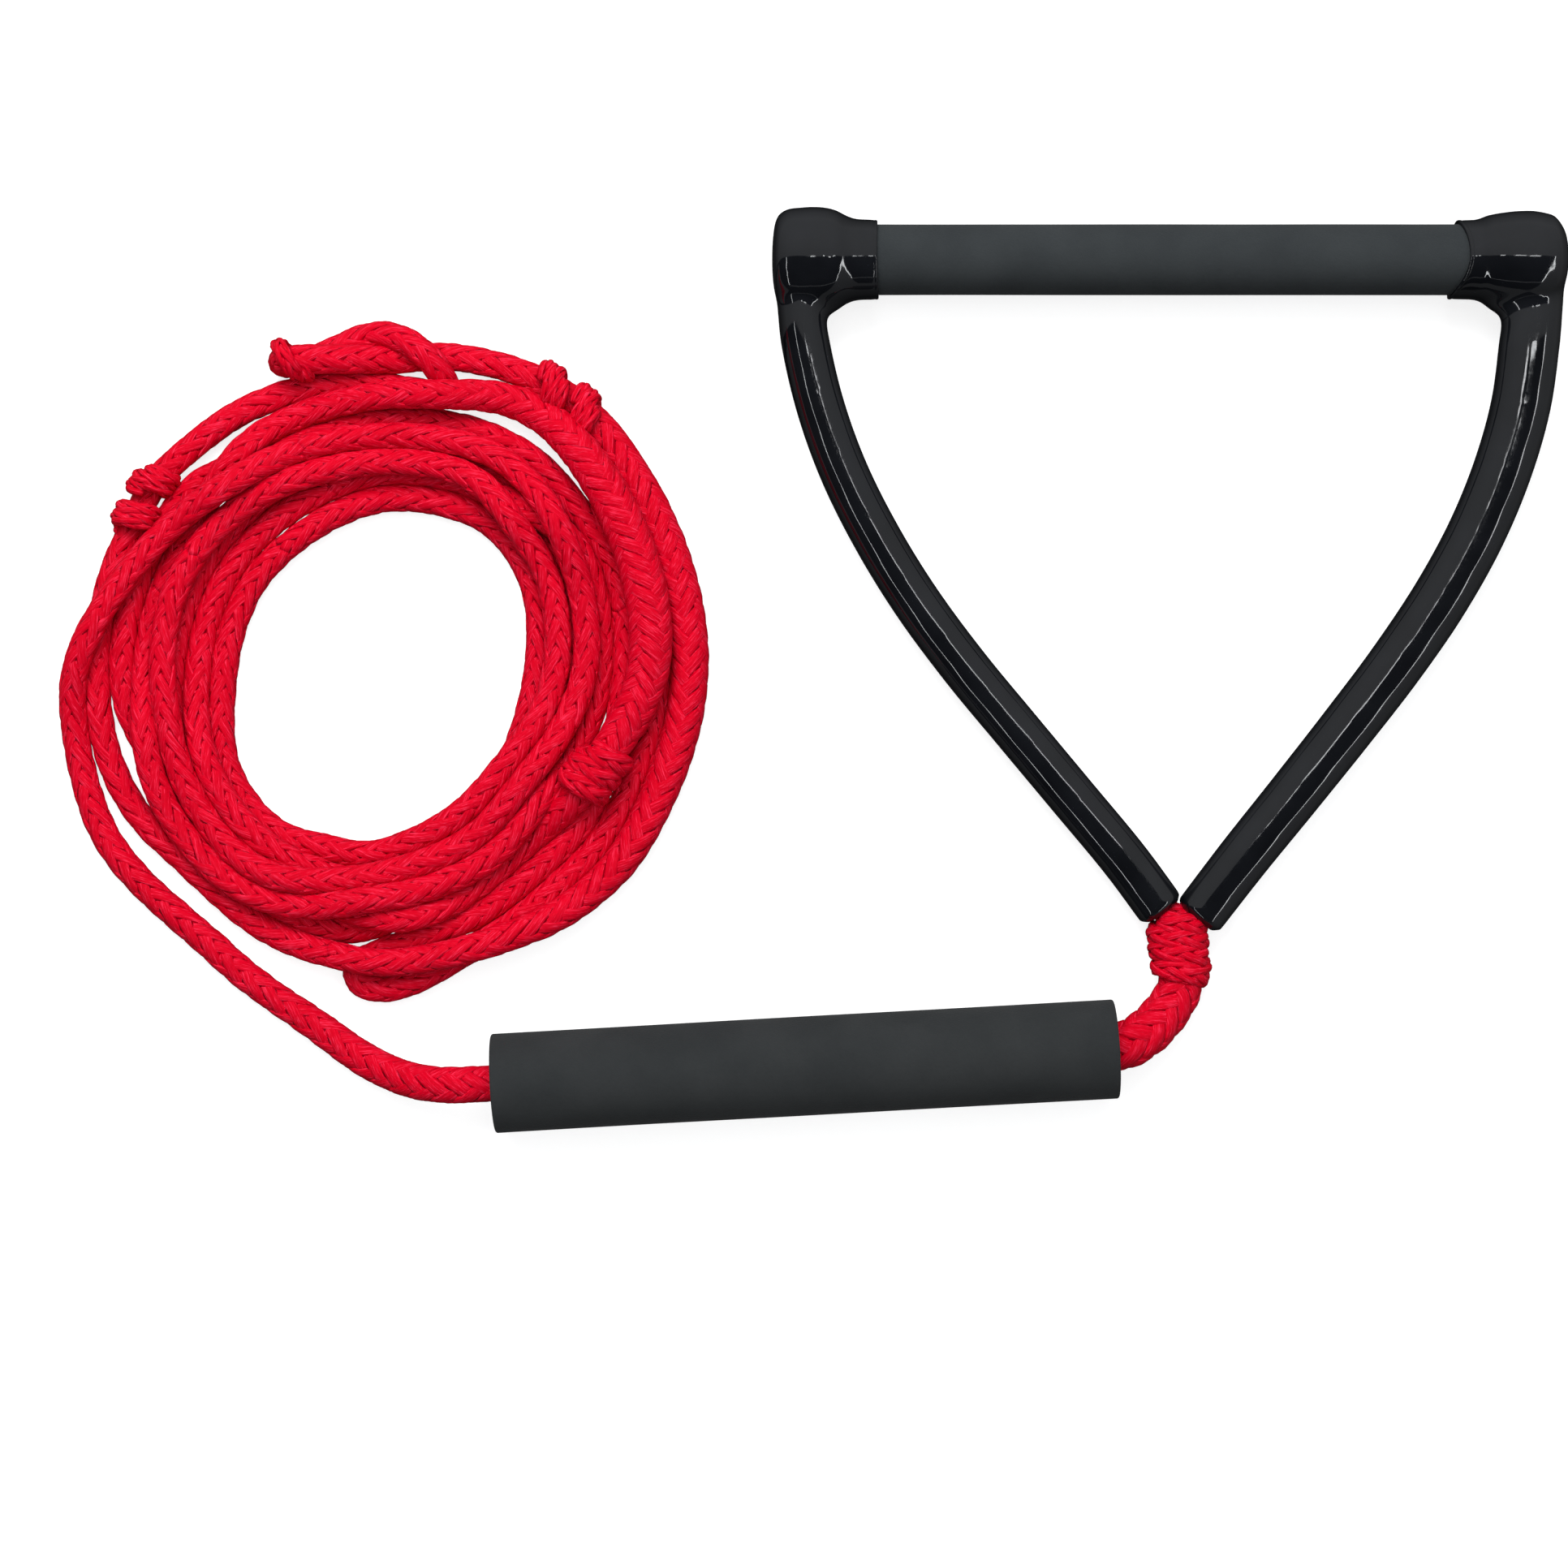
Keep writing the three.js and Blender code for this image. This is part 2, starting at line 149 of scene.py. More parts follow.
def braid(name, path, half_width, half_height, lay, body, frames=None, twist=0.0, seed=0, keep=(0, None),
          crossing=0.24, thickness=0.52):
    """A rope braided from twelve flat strands, six each way, over two and under two, round a plain core.

    half_width and half_height are the rope's half size beside and above its line, and lay is the length
    in which a strand goes once round. Each may be one number or one for each point of the path. keep is the
    range of points to make, so that the pieces of one rope carry on each other's strands.
    """
    n = len(path)
    wide, high, lay = (np.broadcast_to(np.asarray(v, float), (n,)) for v in (half_width, half_height, lay))
    tangent, side, up = frames or directions(path)
    s = along(path)
    turn = np.concatenate([[0], np.cumsum(2 * np.pi / ((lay[1:] + lay[:-1]) / 2) * np.diff(s))])
    rng = np.random.default_rng(seed)
    verts, faces, marks = [], [], []
    total = 0
    keep = slice(*keep)
    rings = len(range(n)[keep])
    drift = twist * s / 1000 * 2 * np.pi
    around = len(RIBBON_ACROSS)
    for k in range(STRANDS):
        way = 1 if k < 6 else -1
        start = (k % 6) * np.pi / 3 + (0 if way > 0 else np.pi / 6)
        local = way * turn + start
        # Each strand rises over two and dips under two. Its height and its fullness aren't quite even.
        lift = crossing * way * np.tanh(2.2 * np.cos(3 * local)) / math.tanh(2.2)
        marks_along = np.linspace(0, s[-1], max(4, int(s[-1] / 11)))
        lift = lift + np.interp(s, marks_along, rng.normal(0, 0.08, len(marks_along)))
        fullness = np.interp(s, marks_along, rng.uniform(1.1, 1.36, len(marks_along)))
        angle = local + drift
        c, z = np.cos(angle), np.sin(angle)
        a, b = wide - thickness - crossing, high - thickness - crossing
        centre = path[:, :3] + ((a + lift + 0.1) * c)[:, None] * side + ((b + lift + 0.1) * z)[:, None] * up
        out = unit((c / a)[:, None] * side + (z / b)[:, None] * up)
        run = unit(np.gradient(centre, axis=0))
        cross = unit(np.cross(run, out))
        slope = np.abs((run * tangent).sum(1))
        girth = 2 * np.pi * np.sqrt((a * a + b * b) / 2)
        half = 0.5 * girth / 6 * slope * fullness
        bend = a * b / ((a * z) ** 2 + (b * c) ** 2) ** 1.5 * slope ** 2
        x = RIBBON_ACROSS * half[:, None]
        y = RIBBON_OUT * thickness - 0.5 * bend[:, None] * x * x
        ring = centre[:, None] + x[..., None] * cross[:, None] + y[..., None] * out[:, None]
        verts.append(ring[keep].reshape(-1, 3))
        quads, ends = strip_faces(rings, around)
        faces += [[i + total for i in f] for f in quads + ends]
        mark = np.stack(np.broadcast_arrays(x, along(centre)[:, None], k + float(STRANDS) * seed), axis=-1)
        marks.append(mark[keep].reshape(-1, 3))
        total += rings * around
    theta = np.arange(CORE_SIDES) * 2 * np.pi / CORE_SIDES
    rim = [np.maximum(size - thickness - 2 * crossing + 0.1, 0.5) for size in (wide, high)]
    ring = path[:, None, :3] + (rim[0][:, None] * np.cos(theta))[..., None] * side[:, None] \
        + (rim[1][:, None] * np.sin(theta))[..., None] * up[:, None]
    verts.append(ring[keep].reshape(-1, 3))
    quads, ends = strip_faces(rings, CORE_SIDES)
    faces += [[i + total for i in f] for f in quads + ends]
    marks.append(np.zeros((rings * CORE_SIDES, 3)))
    return new_object(name, np.vstack(verts), faces, rope_look, body,
                      {"strand": np.vstack(marks)})


# ---- Materials ----

def material(name, colour, roughness, **sockets):
    """A node material with its uniform values set on the shader."""
    m = bpy.data.materials.new(name)
    m.use_nodes = True
    shader = m.node_tree.nodes["Principled BSDF"]
    shader.inputs["Base Color"].default_value = (*colour, 1)
    shader.inputs["Roughness"].default_value = roughness
    for key, value in sockets.items():
        shader.inputs[key.replace("_", " ")].default_value = value
    return m


class Nodes:
    """Short ways to add and join a material's nodes."""

    def __init__(self, m):
        self.tree = m.node_tree
        self.shader = m.node_tree.nodes["Principled BSDF"]

    def add(self, kind, inputs=None, **settings):
        node = self.tree.nodes.new("ShaderNode" + kind)
        for key, value in settings.items():
            setattr(node, key, value)
        for key, value in (inputs or {}).items():
            socket = node.inputs[key]
            if isinstance(value, bpy.types.NodeSocket):
                self.tree.links.new(value, socket)
            else:
                socket.default_value = value
        return node

    def noise(self, where, scale, detail=3.0, rough=0.5):
        inputs = {"Vector": where, "Scale": scale, "Detail": detail, "Roughness": rough}
        return self.add("TexNoise", inputs).outputs["Fac"]

    def ramp(self, value, low, high, start, end):
        """The value from low to high, turned into start to end."""
        inputs = {0: value, 1: low, 2: high, 3: start, 4: end}
        return self.add("MapRange", inputs).outputs[0]

    def blended(self, value, first, second):
        """The shader's colour, between two that are sockets or four numbers."""
        mix = self.add("Mix", {0: value, 6: first, 7: second}, data_type="RGBA")
        self.tree.links.new(mix.outputs[2], self.shader.inputs["Base Color"])
        return mix.outputs[2]

    def colour(self, value, first, second):
        """The same between two colours of three numbers."""
        return self.blended(value, (*first, 1), (*second, 1))

    def sum(self, a, b, share):
        """a plus b times share."""
        return self.add("Math", {0: b, 1: share, 2: a}, operation="MULTIPLY_ADD").outputs[0]

    def rough(self, value):
        self.tree.links.new(value, self.shader.inputs["Roughness"])

    def bump(self, height, depth, strength=1.0):
        """depth is in metres."""
        node = self.add("Bump", {"Height": height, "Distance": depth, "Strength": strength})
        self.tree.links.new(node.outputs[0], self.shader.inputs["Normal"])

    def place(self):
        return self.add("TexCoord").outputs["Object"]


def rope_material(name, bright, deep):
    """Bundled plastic filaments, which run along each strand, with a painted pale pink highlight where their
    noise peaks.
    """
    m = material(name, bright, 0.4, Specular_IOR_Level=0.13)
    m.node_tree.nodes["Principled BSDF"].inputs["Specular Tint"].default_value = (1.0, 0.3, 0.42, 1)
    n = Nodes(m)
    strand = n.add("Attribute", attribute_name="strand").outputs["Vector"]
    stretched = n.add("VectorMath", {0: strand, 1: (1.0, 0.045, 1.7)}, operation="MULTIPLY").outputs[0]
    fibre = n.noise(stretched, 2.1, 2.0, 0.55)
    fine = n.noise(stretched, 6.5, 1.0, 0.5)
    patch = n.noise(n.place(), 55.0, 2.0)
    shade = n.colour(n.sum(n.ramp(fibre, 0.3, 0.7, 0.0, 0.7), patch, 0.45), deep, bright)
    # Painted highlight: a pale pink mixed into the colour where the filament noise is highest, standing in
    # for glints of light on the strands.
    n.blended(n.ramp(n.sum(fine, fibre, 0.8), 0.98, 1.12, 0.0, 0.6), shade, (0.82, 0.04, 0.1, 1))
    n.rough(n.ramp(n.sum(fine, patch, 0.5), 0.4, 1.1, 0.3, 0.48))
    n.bump(n.sum(fibre, fine, 0.35), 0.00032, 0.85)
    return m


def foam_material(name, bright, deep, cell):
    """Closed-cell foam with a cut skin: fine cells and faint smudges."""
    m = material(name, bright, 0.9, Specular_IOR_Level=0.15, Sheen_Weight=0.05, Sheen_Roughness=0.5)
    n = Nodes(m)
    where = n.place()
    cells = n.add("TexVoronoi", {"Vector": where, "Scale": cell}).outputs["Distance"]
    grain = n.noise(where, cell * 0.55, 4.0, 0.7)
    smudge = n.noise(where, 38.0, 3.0)
    n.colour(n.sum(n.ramp(smudge, 0.35, 0.65, 0.0, 0.6), grain, 0.4), deep, bright)
    n.rough(n.ramp(smudge, 0.3, 0.7, 0.78, 0.93))
    n.bump(n.sum(grain, cells, 0.6), 0.00016, 0.7)
    return m


def vinyl_material():
    """Thick dipped vinyl: a deep gloss with the faint ripple of a dip."""
    m = material("vinyl_dipped", (0.004, 0.0045, 0.006), 0.06)
    n = Nodes(m)
    where = n.place()
    ripple = n.noise(where, 62.0, 2.0)
    dust = n.noise(where, 700.0, 2.0, 0.7)
    n.colour(n.ramp(ripple, 0.3, 0.7, 0.0, 1.0), (0.003, 0.0034, 0.0045), (0.005, 0.0056, 0.0072))
    n.rough(n.ramp(n.sum(dust, ripple, 0.6), 0.5, 1.1, 0.03, 0.09))
    n.bump(n.sum(ripple, dust, 0.012), 0.0005, 0.17)
    return m


def metal_material():
    """Drawn aluminium tube, brushed round."""
    m = material("tube_aluminium", (0.62, 0.63, 0.65), 0.35, Metallic=1.0)
    n = Nodes(m)
    rings = n.add("VectorMath", {0: n.place(), 1: (1.0, 0.03, 0.03)}, operation="MULTIPLY").outputs[0]
    lines = n.noise(rings, 2600.0, 3.0, 0.6)
    n.colour(lines, (0.55, 0.56, 0.58), (0.72, 0.73, 0.74))
    n.rough(n.ramp(lines, 0.3, 0.7, 0.26, 0.46))
    n.bump(lines, 0.00003, 0.6)
    return m


def nylon_material():
    """Moulded nylon with a fine grain."""
    m = material("plug_nylon", (0.012, 0.012, 0.014), 0.5)
    n = Nodes(m)
    grain = n.noise(n.place(), 1400.0, 3.0, 0.6)
    n.colour(grain, (0.010, 0.010, 0.012), (0.018, 0.018, 0.020))
    n.rough(n.ramp(grain, 0.3, 0.7, 0.42, 0.6))
    n.bump(grain, 0.00005, 0.6)
    return m


rope_look = rope_material("rope_braid", (0.605, 0.0005, 0.0158), (0.43, 0.0001, 0.0075))
grip_look = foam_material("foam_grip", (0.030, 0.034, 0.036), (0.020, 0.023, 0.025), 1500.0)
float_look = foam_material("foam_float", (0.0265, 0.0285, 0.0295), (0.0175, 0.0195, 0.0205), 1100.0)
vinyl_look = vinyl_material()


# ---- The rope's route ----

FLOAT_RIGHT = np.array([-20.6, -175.5, 19.0])
FLOAT_LEFT = np.array([-259.7, -188.8, 19.0])
FLOAT_AXIS = unit(FLOAT_LEFT - FLOAT_RIGHT)
FLOAT_LENGTH = float(np.linalg.norm(FLOAT_LEFT - FLOAT_RIGHT))

COIL_CENTRE = (-304.0, -29.8)
STATIONS = (240, 210, 180, 150, 120, 90, 60, 30, 0, -30, -60, -90)
# The rope's half width, and that of its thickest spliced stretch.
ROPE = 5.3
THICK = 8.4

# The turns from the tail inwards and down, clockwise: the radius at each station, how high the turn is
# dropped from, and the rope's half width where it isn't ROPE.
TURNS = (
    ((126, 125, 115.5, 100, 91.5, 87.5, 93, 85.5, 79, 71, 74, 82), 84, {240: 5.9, 210: 5.6}),
    ((88.5, 87, 84.5, 84, 83, 82.5, 84, 77, 70, 64, 69, 76), 74, {}),
    ((81, 73.5, 64.5, 62, 62.5, 71, 75, 69, 62, 63, 69, 80), 40, {}),
    ((86, 78.5, 75, 73, 73, 79, 84, 88, 82, 81, 84, 90), 70, {}),
    ((97, 96, 93, 92, 99, 107.5, 118, 110, 104.5, 90, 90.5, 95), 55,
     {90: 5.5, 60: 6.8, 30: THICK, 0: THICK, -30: 6.6}),
    ((86, 82, 82, 80.5, 82, 87, 88, 85, 78, 75, 80, 99), 23, {}),
    ((98, 92, 97, 103, 94.5, 96, 97, 94.5, 91.5, 94.5, 101.5, 103.5), 12, {}),
)


def polar(angle, radius, z=0.0, width=ROPE):
    """A route's point from its angle in degrees and radius about the coil's centre."""
    a = math.radians(angle)
    return (COIL_CENTRE[0] + radius * math.cos(a), COIL_CENTRE[1] + radius * math.sin(a), z, width)


def main_route():
    """The main rope from inside the float, round seven turns, to the bight and back to the knots."""
    points = [(*(FLOAT_RIGHT + d * FLOAT_AXIS), 7.1) for d in (150, 180, 210, FLOAT_LENGTH)]
    points += [(-279.7, -189.6, 18.6, 7.1), (-291, -188.4, 15.2, 7.0), (-303, -184.6, 10.8, 6.8),
               (-314, -178.6, 7.6, 6.6), (-326, -169.6, 6.2, 6.4)]
    points.append(polar(256, 136.4, 10, 6.1))
    for radii, drop, widths in TURNS:
        points += [polar(a, r, drop, widths.get(a, ROPE)) for a, r in zip(STATIONS, radii)]
    points += [polar(a, r, z) for a, r, z in (
        (-92.5, 105.5, 8), (-96, 109.5, 6), (-97, 114.5, 6), (-95.5, 120, 6), (-91.5, 122.8, 6),
        (-86, 121, 6), (-80, 116.5, 6), (-74, 112, 5), (-60, 107, 5), (-45, 105, 5), (-30, 106.5, 5),
        (-15, 109, 5), (0, 110.5, 5), (15, 111.5, 5), (30, 112, 5), (42, 115.5, 8), (50, 121, 14))]
    return points


def loop_route():
    """The big loop: from the hitch's knot, clockwise round the outside, and over itself back to the knot."""
    return [polar(*p) for p in (
        # From the hitch's end along its body.
        (105.8, 124.3, 27, 5.8), (101, 122.2, 26, 5.8), (95, 120.4, 25, 5.8), (89, 119.4, 23, 5.6),
        (80, 121, 21, 5.5), (70, 125, 20, 5.4), (60, 126.8, 20, 5.6), (52, 125.2, 20, 6.2),
        # Down the right, where the rope is thick, and up the left.
        (42, 120.5, 20, 7.0), (30, 118, 20, 7.5), (15, 115.5, 20, 7.5), (0, 115, 20, 7.5),
        (-15, 114, 20, 7.3), (-30, 111.5, 20, 7), (-45, 109, 20, 6.5), (-60, 110.5, 20, 6),
        (-75, 112, 20, 5.6), (-90, 112, 22, 5.5), (-105, 106, 22, 5.4), (-120, 103, 22, 5.4),
        (-135, 104.5, 22), (-150, 109.5, 22), (-165, 111.5, 22), (-180, 110, 22), (165, 107.5, 22),
        (150, 107.5, 20), (141, 113.5, 18), (130, 113.5, 14), (120, 114.2, 10),
        # Inside the body, over it in an arc, and back under its start.
        (105, 113, 6), (92, 111.2, 5.5), (83, 109.2, 5.5), (78, 107.4, 9), (76, 109.5, 20), (77.5, 115.5, 30),
        (82, 122.5, 34), (87, 126.5, 33), (92, 127, 24), (96.5, 124.5, 11), (99.5, 122.5, 6), (102.5, 122, 5),
        (105.8, 123.8, 5))]


# How high a loaded rope is for its width, how much of its width two ropes keep between them, and how much of
# it the ground keeps.
FLAT = 0.88
CONTACT = 0.965
GROUND = 0.87
# The first points of the main rope lie in the float and just past it, and stay.
COARSE, FINE = 4, 1.7
ROUNDS, QUICK_ROUNDS = 420, 60
RESTING = 90
HELD = 30
# How far the ropes fall in a round. How near to each other's surface two points are to be watched for
# contact, and how many points along one rope they have to be apart for that.
FALL = 0.3
WATCHED, APART = 7, 6


def settle(ropes, rounds):
    """Ropes dropped on the ground and on each other, each held near its route as seen from above.

    Each rope is an array of x, y, z and half width. The rounds are plain relaxation, the same every run.
    """
    plan = np.vstack(ropes)
    x = plan[:, :3] / (1, 1, FLAT)
    radius = plan[:, 3] * CONTACT
    ground = plan[:, 3] * GROUND / FLAT
    rope_of = np.repeat(np.arange(len(ropes)), [len(r) for r in ropes])
    inner = np.ones(len(x), bool)
    inner[0] = inner[-1] = False
    inner[1:] &= rope_of[1:] == rope_of[:-1]
    inner[:-1] &= rope_of[:-1] == rope_of[1:]
    inner = np.flatnonzero(inner)
    held = np.arange(len(x)) < HELD
    start = x[held].copy()
    place = np.arange(len(x))
    for turn in range(rounds):
        falling = turn < rounds - RESTING
        if turn % 8 == 0:
            gap = np.linalg.norm(x[:, None] - x[None], axis=-1) - radius[:, None] - radius[None]
            near = np.triu(gap < WATCHED, 1)
            near &= (np.abs(place[:, None] - place[None]) > APART) | (rope_of[:, None] != rope_of[None])
            i, j = np.nonzero(near)
        if falling:
            x[:, 2] -= FALL
        # Seen from above each point creeps back to its route, and in height to between its neighbours.
        off = x[:, :2] - plan[:, :2]
        off *= 0.95 if falling else 0.99
        off[inner] += 0.4 * ((off[inner - 1] + off[inner + 1]) / 2 - off[inner])
        x[:, :2] = plan[:, :2] + off
        z = x[:, 2].copy()
        x[inner, 2] += (0.5 if falling else 0.12) * ((z[inner - 1] + z[inner + 1]) / 2 - z[inner])
        # Ropes that press into each other push each other apart.
        for _ in range(5):
            d = x[i] - x[j]
            dist = np.maximum(np.linalg.norm(d, axis=1), 1e-6)
            push = np.maximum(radius[i] + radius[j] - dist, 0)
            hit = push > 0
            first, second = i[hit], j[hit]
            v = (0.5 * push[hit] / dist[hit])[:, None] * d[hit]
            moved = np.stack([np.bincount(first, v[:, k], len(x)) - np.bincount(second, v[:, k], len(x))
                              for k in range(3)], axis=1)
            count = np.bincount(first, minlength=len(x)) + np.bincount(second, minlength=len(x))
            x += moved / np.maximum(count, 1)[:, None] ** 0.55
            x[:, 2] = np.maximum(x[:, 2], ground)
            x[held] = start
    settled = np.column_stack([x * (1, 1, FLAT), plan[:, 3]])
    parts = np.split(settled, np.cumsum([len(r) for r in ropes])[:-1])
    return [softened(p, 5) for p in parts]


main, loop = settle([spline(main_route(), COARSE), spline(loop_route(), COARSE)],
                    ROUNDS)
main, loop = (spline(p, FINE) for p in (main, loop))


def declare(obj, path, diameter, **facts):
    """Fills in a default exit, the path's start in metres, among the facts, which are then dropped."""
    facts.setdefault("exit", (path[0, :3] * MM).tolist())


def rope_stretch(name, path, keep, seed, **facts):
    """A stretch of a settled rope, thicker where it is spliced."""
    width = path[:, 3]
    spliced = np.clip((width - 5.6) / 2.4, 0, 1)
    high = width * (0.84 + 0.06 * spliced)
    lay = 66 - 26 * spliced
    obj = braid(name, path, width, high, lay, "rope", twist=0.6, seed=seed, keep=keep)
    part = path[slice(*keep)]
    declare(obj, part, round(2 * float(np.median(part[:, 3])) * MM, 4), **facts)
    return obj


def nearest(path, angle, radius):
    """The index of the path's point nearest to a place in the coil, as seen from above."""
    return int(np.linalg.norm(path[:, :2] - np.array(polar(angle, radius)[:2]), axis=1).argmin())


def wrap(name, centre, axis, radii, turns, pitch, size, body, start=0.0, lean=0.0, seed=0, tuck=0.5):
    """Tight turns of rope round an axis, with both ends tucked in, lying on the ground if they reach it.

    radii are the turns' half width in the ground plane and half height, size the rope's half width along
    the axis and half thickness across it, and lean how far the turns slope to either side, in mm.
    """
    axis = unit(np.asarray(axis, float))
    across = unit(np.cross(axis, [0, 0, 1.0]))
    rise = np.cross(across, axis)
    n = int(turns * 2 * np.pi * (radii[0] + radii[1]) / 2 / 1.1)
    t = np.linspace(0, turns, n)
    angle = 2 * np.pi * t + start
    ends = np.minimum(t, turns - t) / 0.16
    inward = 1 - tuck * (1 - np.clip(ends, 0, 1)) ** 2
    run = (t - turns / 2) * pitch + lean * np.cos(angle)
    spoke = (radii[0] * inward * np.cos(angle))[:, None] * across \
        + (radii[1] * inward * np.sin(angle))[:, None] * rise
    path = np.asarray(centre, float) + run[:, None] * axis + spoke
    path[:, 2] += 0.5 * max(0, float((size[1] - path[:, 2]).max()))
    path[:, 2] = np.maximum(path[:, 2], size[1] + 0.05)
    out = unit(np.cos(angle)[:, None] / radii[0] * across + np.sin(angle)[:, None] / radii[1] * rise)
    tangent = unit(np.gradient(path, axis=0))
    side = unit(np.cross(tangent, out))
    lift = np.cross(side, tangent)
    return braid(name, path, size[0], size[1], 64, body, frames=(tangent, side, lift), seed=seed,
                 crossing=0.34, thickness=0.65)


# The main rope in nine stretches, and the knot at the end of its thick one, by angle and radius.
STRETCHES = 9
KNOT_4 = (-26.2, 92.6)
spliced_turn = slice(int(len(main) * 0.55), int(len(main) * 0.7))
knot_k4 = nearest(main[spliced_turn], *KNOT_4) + spliced_turn.start
axis = main[knot_k4 + 6, :3] - main[knot_k4 - 6, :3]
k4 = wrap("rope_knot_4", main[knot_k4, :3] + [0, 0, 1.5], axis, (8.4, 7.2), 2.8, 7.0, (4.7, 3.1), "rope",
          start=0.6, lean=2.0, seed=41)
bounds = np.linspace(0, len(main) - 1, STRETCHES + 1).astype(int)
for k, (first, last) in enumerate(zip(bounds, bounds[1:])):
    on_it = [k4] if first <= knot_k4 < last else []
    rope_stretch(f"rope_turn_{k + 1}", main, (first, last + 1), 1, far_end="object", lay="coiled",
                 with_pieces=on_it)

# The double knots on the big loop, by angle, radius and half width.
knots = []
for label, angle, radius, size in (("2a", 58.4, 128.5, 6.4), ("2b", 52.0, 127.5, 6.7),
                                   ("3a", 140.2, 113.5, 6.3), ("3b", 147.8, 108.5, 6.6)):
    i = nearest(loop, angle, radius)
    axis = loop[i + 5, :3] - loop[i - 5, :3]
    knots.append(wrap(f"rope_knot_{label}", loop[i, :3] + [0, 0, 1.0], axis, (size, size * 0.94), 2.1, 3.7,
                      (3.5, 2.7), "rope", start=angle, lean=2.2, seed=50 + i % 7))
# The hitch's end: the rope turns back on itself under a band.
last, first = loop[-1, :3], loop[0, :3]
back, out = unit(loop[-1, :3] - loop[-5, :3]), unit(loop[0, :3] - loop[4, :3])
bend = spline([last - 3 * back, last, last + 3.4 * back, (last + first) / 2 + 4.6 * (back + out) / 2,
               first + 3.4 * out, first, first - 3 * out], 1.2)
bend[:, 2] = np.maximum(bend[:, 2], 4.8)
knot_1 = braid("rope_knot_1", bend, 5.3, 4.7, 50, "rope", seed=60)
middle = (loop[0, :3] + loop[-1, :3]) / 2
band = wrap("rope_knot_1_band", middle + 0.5 * back, back, (7.6, 5.0 + abs(last[2] - first[2]) / 2), 1.2, 3.2,
            (3.4, 2.2), "rope", start=2.0, lean=3.0, seed=61)
half_way = len(loop) // 2
rope_stretch("rope_loop_1", loop, (0, half_way + 1), 21, far_end="object", lay="coiled",
             with_pieces=[knot_1, band, *knots[:2]])
rope_stretch("rope_loop_2", loop, (half_way, len(loop)), 21, far_end="knot", lay="coiled",
             with_pieces=knots[2:])
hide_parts("rope_coil")
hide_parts("rope_tail")

# The thick lead, from the eye inside the knot into the float.
lead_path = spline([(5.2, -149.6, 10.2, 8.6), (4.4, -153.6, 10.4, 8.8), (1.6, -158.6, 11.2, 9.0),
                    (-3.2, -164.6, 12.8, 9.2), (-9.6, -170.2, 15.6, 9.4), (-17.8, -174.4, 18.2, 9.3),
                    *((*(FLOAT_RIGHT + d * FLOAT_AXIS), 9.0) for d in (14, 50, 100, 150))], 1.5)
lead = braid("lead_braid", lead_path, lead_path[:, 3], lead_path[:, 3] * 0.9, 54, "rope", twist=0.4, seed=31,
             thickness=0.95, crossing=0.5)
declare(lead, lead_path, 0.018, far_end="object", lay="loose")
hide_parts("lead_rope")

ball = spline([(5.6, -143.6, 10), (5.0, -150.75, 10), (4.2, -157.6, 10.2)], 1.0)
share = np.linspace(-1, 1, len(ball))
girth = 3 + 5 * np.sqrt(np.clip(1 - share ** 2, 0, 1))
eye = braid("lead_eye_braid", ball, girth, girth, 40, "eye", seed=32)
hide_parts("lead_eye")

# The knot that ties the bridle to the lead: broad flat turns, a strap below them, and a crown over the top.
knot = wrap("bridle_knot_turns", (4.0, -133.6, 10.4), (0.1, -1.0, 0.0), (9.4, 7.3), 2.5, 5.8, (4.6, 2.8),
            "handle", start=0.4, lean=-1.0, seed=33, tuck=0.6)
wrap("bridle_knot_strap", (5.0, -145.4, 10.4), (-0.26, -1.0, 0.0), (9.2, 7.4), 1.5, 3.4, (4.5, 2.7),
     "handle", start=2.2, lean=0.6, seed=34, tuck=0.4)
crown = spline([(-6.5, -114.5, 10.2), (-1.6, -121, 10.2), (4.6, -124.4, 10.3), (10.6, -123.6, 10.2),
                (16.2, -118.6, 10.2)], 1.1)
braid("bridle_knot_crown", crown, 4.3, 4.6, 60, "handle", seed=36)
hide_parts("bridle_knot")


GRIP_Y = 127.75
GRIP_Z = 17.5
TIP_Z = 10.2
# For each arm: its side of the handle, the middle of its root beside the grip, how slanted the cover's mouth
# is, where the web in the inner corner stands, the arm's half width and half height at the root, the middle
# and the tip, its middle line seen from above, and the cap's profile as distance from the handle's middle and
# radius.
ARMS = {
    "left": dict(
        sign=-1, root=((141.8, 2), (141.5, 17)), slant=0.5, web=131.0,
        wide=(9.3, 9.4, 9.3), high=(11.4, 11.0, 10.0),
        points=((-140, 96.8), (-134.2, 71.8), (-125.2, 46.8), (-112.7, 21.8), (-97.3, -3.2), (-78.8, -28.2),
                (-58.1, -53.2), (-37.2, -78.2), (-16.4, -103.2), (-1.6, -123.2)),
        cap=((112.5, 14.9), (114, 15.2), (121, 15.7), (124.5, 17), (128, 18.8), (132.2, 19.9), (137, 20.2),
             (141, 20), (146.9, 19.2), (150, 17.2), (151.4, 14.4), (152.2, 10), (152.6, 5), (152.7, 0))),
    "right": dict(
        sign=1, root=((140.2, 2), (139.9, 17)), slant=3.0, web=127.5,
        wide=(11.6, 11.0, 9.9), high=(9.8, 9.5, 9.3),
        points=((138.6, 96.8), (135.3, 71.8), (128.3, 46.8), (118, 21.8), (104.2, -3.2), (87.3, -28.2),
                (68.3, -53.2), (48.6, -78.2), (28.6, -103.2), (11.2, -126.0)),
        cap=((110.6, 14.6), (112, 15), (118, 15.4), (122.2, 16.9), (128.8, 18.1), (134, 18.6), (140, 18.6),
             (144, 17.9), (147.2, 16.9), (150, 13.8), (151.6, 10.4), (152.4, 5), (152.5, 0))),
}
ARM_SIDES, CAP_SIDES, WEB_SIDES, LIP_SIDES = 40, 64, 24, 96
# The cap's half height, which is less than its depth.
CAP_HEIGHT = 17.5


